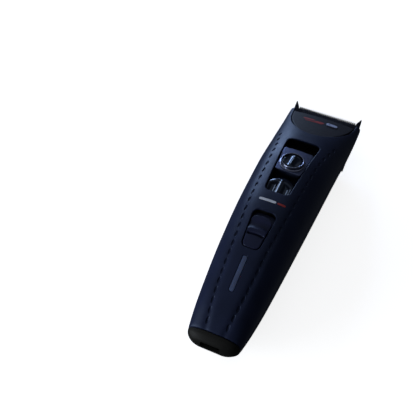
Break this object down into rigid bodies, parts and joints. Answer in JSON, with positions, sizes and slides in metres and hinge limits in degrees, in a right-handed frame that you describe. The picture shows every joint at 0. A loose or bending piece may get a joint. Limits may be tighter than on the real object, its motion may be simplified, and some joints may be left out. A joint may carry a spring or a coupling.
{
  "type": "hair clipper",
  "caption": "Cordless hair clipper: long rounded soft-touch body with a slide switch, a taper dial in a window, a light strip and a wide toothed blade between two corner horns.",
  "frame": {"origin": "centre of the footprint, on the surface that the clipper's flat back rests on", "axes": "+Y along the body towards the blade, +Z out of the front where the switch is, +X to the clipper's right seen from the front with the blade up"},
  "size_m": [0.0484, 0.1904, 0.044],
  "materials": {
    "soft_touch": "satin soft-touch coat, navy black",
    "button_plastic": "satin",
    "cap_plastic": "matte",
    "panel_plastic": "fine matte",
    "badge_plate": "satin pale grey",
    "satin_plate": "satin, metallic lacquer",
    "gloss_black": "polished",
    "ring_metal": "dark satin",
    "light_guide": "translucent, satin",
    "blade_steel": "dark coated steel",
    "inner_plastic": "moulded",
    "steel": "plated",
    "brass": "turned",
    "nickel": "nickel strip",
    "cell_wrap": "heat-shrink sleeve",
    "board": "solder mask",
    "chip": "moulded epoxy",
    "capacitor_can": "sleeved can",
    "pad_rubber": "moulded",
    "lead_red": "insulated",
    "lead_black": "insulated"
  },
  "bodies": {
    "housing": {"front_shell": "soft_touch", "rear_shell": "soft_touch", "end_cap": "cap_plastic", "head_cover": "panel_plastic", "badge": "badge_plate", "blade_base": "cap_plastic", "adjuster_tray": "inner_plastic", "adjuster_plate": "satin_plate", "dial_ring": "ring_metal", "thumb_saddle": "gloss_black", "light_pipe": "light_guide", "indicator_led": "light_guide", "comb_blade": "blade_steel", "comb_screw_left": "steel", "comb_screw_right": "steel", "tension_spring": "nickel", "motor_can": "steel", "motor_end_bell": "inner_plastic", "shaft_bush": "brass", "motor_bracket": "steel", "motor_screw_left": "steel", "motor_screw_right": "steel", "motor_terminal_left": "brass", "motor_terminal_right": "brass", "motor_pad": "pad_rubber", "chassis": "inner_plastic", "battery_cell": "cell_wrap", "battery_tab_front": "nickel", "battery_tab_rear": "nickel", "circuit_board": "board", "charge_controller": "chip", "capacitor": "capacitor_can", "switch_housing": "inner_plastic", "charging_socket": "inner_plastic", "charging_contact_left": "brass", "charging_contact_right": "brass", "charging_lead_red": "lead_red", "charging_lead_black": "lead_black", "motor_lead_red": "lead_red", "motor_lead_black": "lead_black", "housing_screw_1": "steel", "housing_screw_2": "steel", "housing_screw_3": "steel", "housing_screw_4": "steel"},
    "power_switch": {"power_button": "button_plastic", "switch_knob": "chip"},
    "taper_dial": {"taper_dial": "gloss_black", "dial_crank": "steel"},
    "taper_slide": {"taper_slide": "steel"},
    "cutter": {"cutter_blade": "blade_steel", "cam_follower": "inner_plastic"},
    "motor_rotor": {"motor_shaft": "steel", "eccentric_hub": "brass", "eccentric_pin": "steel"}
  },
  "joints": [
    {"name": "power_slide", "type": "slide", "parent": "housing", "child": "power_switch", "axis": [0, 0.9823, 0.1874], "range_m": [0, 0.004]},
    {"name": "taper_dial_turn", "type": "hinge", "parent": "housing", "child": "taper_dial", "pos_m": [0, 0.0196, 0.0406], "axis": [0, 0.1305, 0.9914], "range_deg": [-30, 30]},
    {"name": "taper_travel", "type": "slide", "parent": "housing", "child": "taper_slide", "axis": [0, 0.9272, 0.3746], "range_m": [-0.0012, 0.0012]},
    {"name": "cutter_stroke", "type": "slide", "parent": "taper_slide", "child": "cutter", "axis": [1, 0, 0], "range_m": [-0.001, 0.001]},
    {"name": "motor_spin", "type": "hinge", "parent": "housing", "child": "motor_rotor", "pos_m": [0, 0.05, 0.015], "axis": [0, 1, 0], "continuous": true}
  ],
  "couplings": [
    {"joint": "taper_dial_turn", "follows": "taper_travel", "rad_per_m": 436.33}
  ]
}
